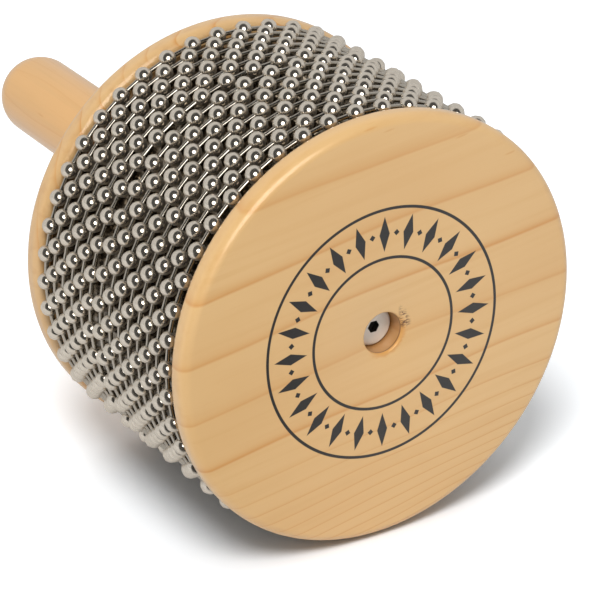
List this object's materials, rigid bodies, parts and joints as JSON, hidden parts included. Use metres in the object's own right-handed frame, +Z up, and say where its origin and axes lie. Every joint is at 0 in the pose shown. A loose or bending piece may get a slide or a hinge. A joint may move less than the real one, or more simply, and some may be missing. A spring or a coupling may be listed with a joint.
{
  "type": "cabasa",
  "caption": "Hand percussion instrument: loops of ball chain turn round a steel-clad wooden drum between two round wooden discs, with a straight turned handle behind.",
  "frame": {"origin": "on the table that the instrument lies on, below the middle of its length", "axes": "+Y along the drum's axis from the front disc to the handle, +Z up, +X to the right as one faces the front disc"},
  "size_m": [0.117, 0.1922, 0.117],
  "materials": {
    "pine_disc": "satin lacquer",
    "pine_handle": "satin lacquer",
    "pine_core": "raw",
    "textured_steel": "embossed",
    "zinc_steel": "satin",
    "bead_chain": "polished nickel"
  },
  "bodies": {
    "drum": {"front_disc": "pine_disc", "rear_disc": "pine_disc", "core": "pine_core", "handle": "pine_handle", "sleeve": "textured_steel", "handle_bolt": "zinc_steel", "bolt_washer": "zinc_steel"},
    "bead_loop_01": {"loop_01_balls": "bead_chain", "loop_01_links": "bead_chain"},
    "bead_loop_02": {"loop_02_balls": "bead_chain", "loop_02_links": "bead_chain"},
    "bead_loop_03": {"loop_03_balls": "bead_chain", "loop_03_links": "bead_chain"},
    "bead_loop_04": {"loop_04_balls": "bead_chain", "loop_04_links": "bead_chain"},
    "bead_loop_05": {"loop_05_balls": "bead_chain", "loop_05_links": "bead_chain"},
    "bead_loop_06": {"loop_06_balls": "bead_chain", "loop_06_links": "bead_chain"},
    "bead_loop_07": {"loop_07_balls": "bead_chain", "loop_07_links": "bead_chain"},
    "bead_loop_08": {"loop_08_balls": "bead_chain", "loop_08_links": "bead_chain"},
    "bead_loop_09": {"loop_09_balls": "bead_chain", "loop_09_links": "bead_chain"},
    "bead_loop_10": {"loop_10_balls": "bead_chain", "loop_10_links": "bead_chain"},
    "bead_loop_11": {"loop_11_balls": "bead_chain", "loop_11_links": "bead_chain"},
    "bead_loop_12": {"loop_12_balls": "bead_chain", "loop_12_links": "bead_chain"},
    "bead_loop_13": {"loop_13_balls": "bead_chain", "loop_13_links": "bead_chain"},
    "bead_loop_14": {"loop_14_balls": "bead_chain", "loop_14_links": "bead_chain"}
  },
  "joints": [
    {"name": "loop_01_turn", "type": "hinge", "parent": "drum", "child": "bead_loop_01", "pos_m": [0, -0.08653, 0.0585], "axis": [0, 1, 0], "continuous": true},
    {"name": "loop_02_turn", "type": "hinge", "parent": "drum", "child": "bead_loop_02", "pos_m": [0, -0.08181, 0.0585], "axis": [0, 1, 0], "continuous": true},
    {"name": "loop_03_turn", "type": "hinge", "parent": "drum", "child": "bead_loop_03", "pos_m": [0, -0.07709, 0.0585], "axis": [0, 1, 0], "continuous": true},
    {"name": "loop_04_turn", "type": "hinge", "parent": "drum", "child": "bead_loop_04", "pos_m": [0, -0.07237, 0.0585], "axis": [0, 1, 0], "continuous": true},
    {"name": "loop_05_turn", "type": "hinge", "parent": "drum", "child": "bead_loop_05", "pos_m": [0, -0.06765, 0.0585], "axis": [0, 1, 0], "continuous": true},
    {"name": "loop_06_turn", "type": "hinge", "parent": "drum", "child": "bead_loop_06", "pos_m": [0, -0.06293, 0.0585], "axis": [0, 1, 0], "continuous": true},
    {"name": "loop_07_turn", "type": "hinge", "parent": "drum", "child": "bead_loop_07", "pos_m": [0, -0.05821, 0.0585], "axis": [0, 1, 0], "continuous": true},
    {"name": "loop_08_turn", "type": "hinge", "parent": "drum", "child": "bead_loop_08", "pos_m": [0, -0.05349, 0.0585], "axis": [0, 1, 0], "continuous": true},
    {"name": "loop_09_turn", "type": "hinge", "parent": "drum", "child": "bead_loop_09", "pos_m": [0, -0.04807, 0.0585], "axis": [0, 1, 0], "continuous": true},
    {"name": "loop_10_turn", "type": "hinge", "parent": "drum", "child": "bead_loop_10", "pos_m": [0, -0.04335, 0.0585], "axis": [0, 1, 0], "continuous": true},
    {"name": "loop_11_turn", "type": "hinge", "parent": "drum", "child": "bead_loop_11", "pos_m": [0, -0.03863, 0.0585], "axis": [0, 1, 0], "continuous": true},
    {"name": "loop_12_turn", "type": "hinge", "parent": "drum", "child": "bead_loop_12", "pos_m": [0, -0.03391, 0.0585], "axis": [0, 1, 0], "continuous": true},
    {"name": "loop_13_turn", "type": "hinge", "parent": "drum", "child": "bead_loop_13", "pos_m": [0, -0.02919, 0.0585], "axis": [0, 1, 0], "continuous": true},
    {"name": "loop_14_turn", "type": "hinge", "parent": "drum", "child": "bead_loop_14", "pos_m": [0, -0.02447, 0.0585], "axis": [0, 1, 0], "continuous": true}
  ]
}
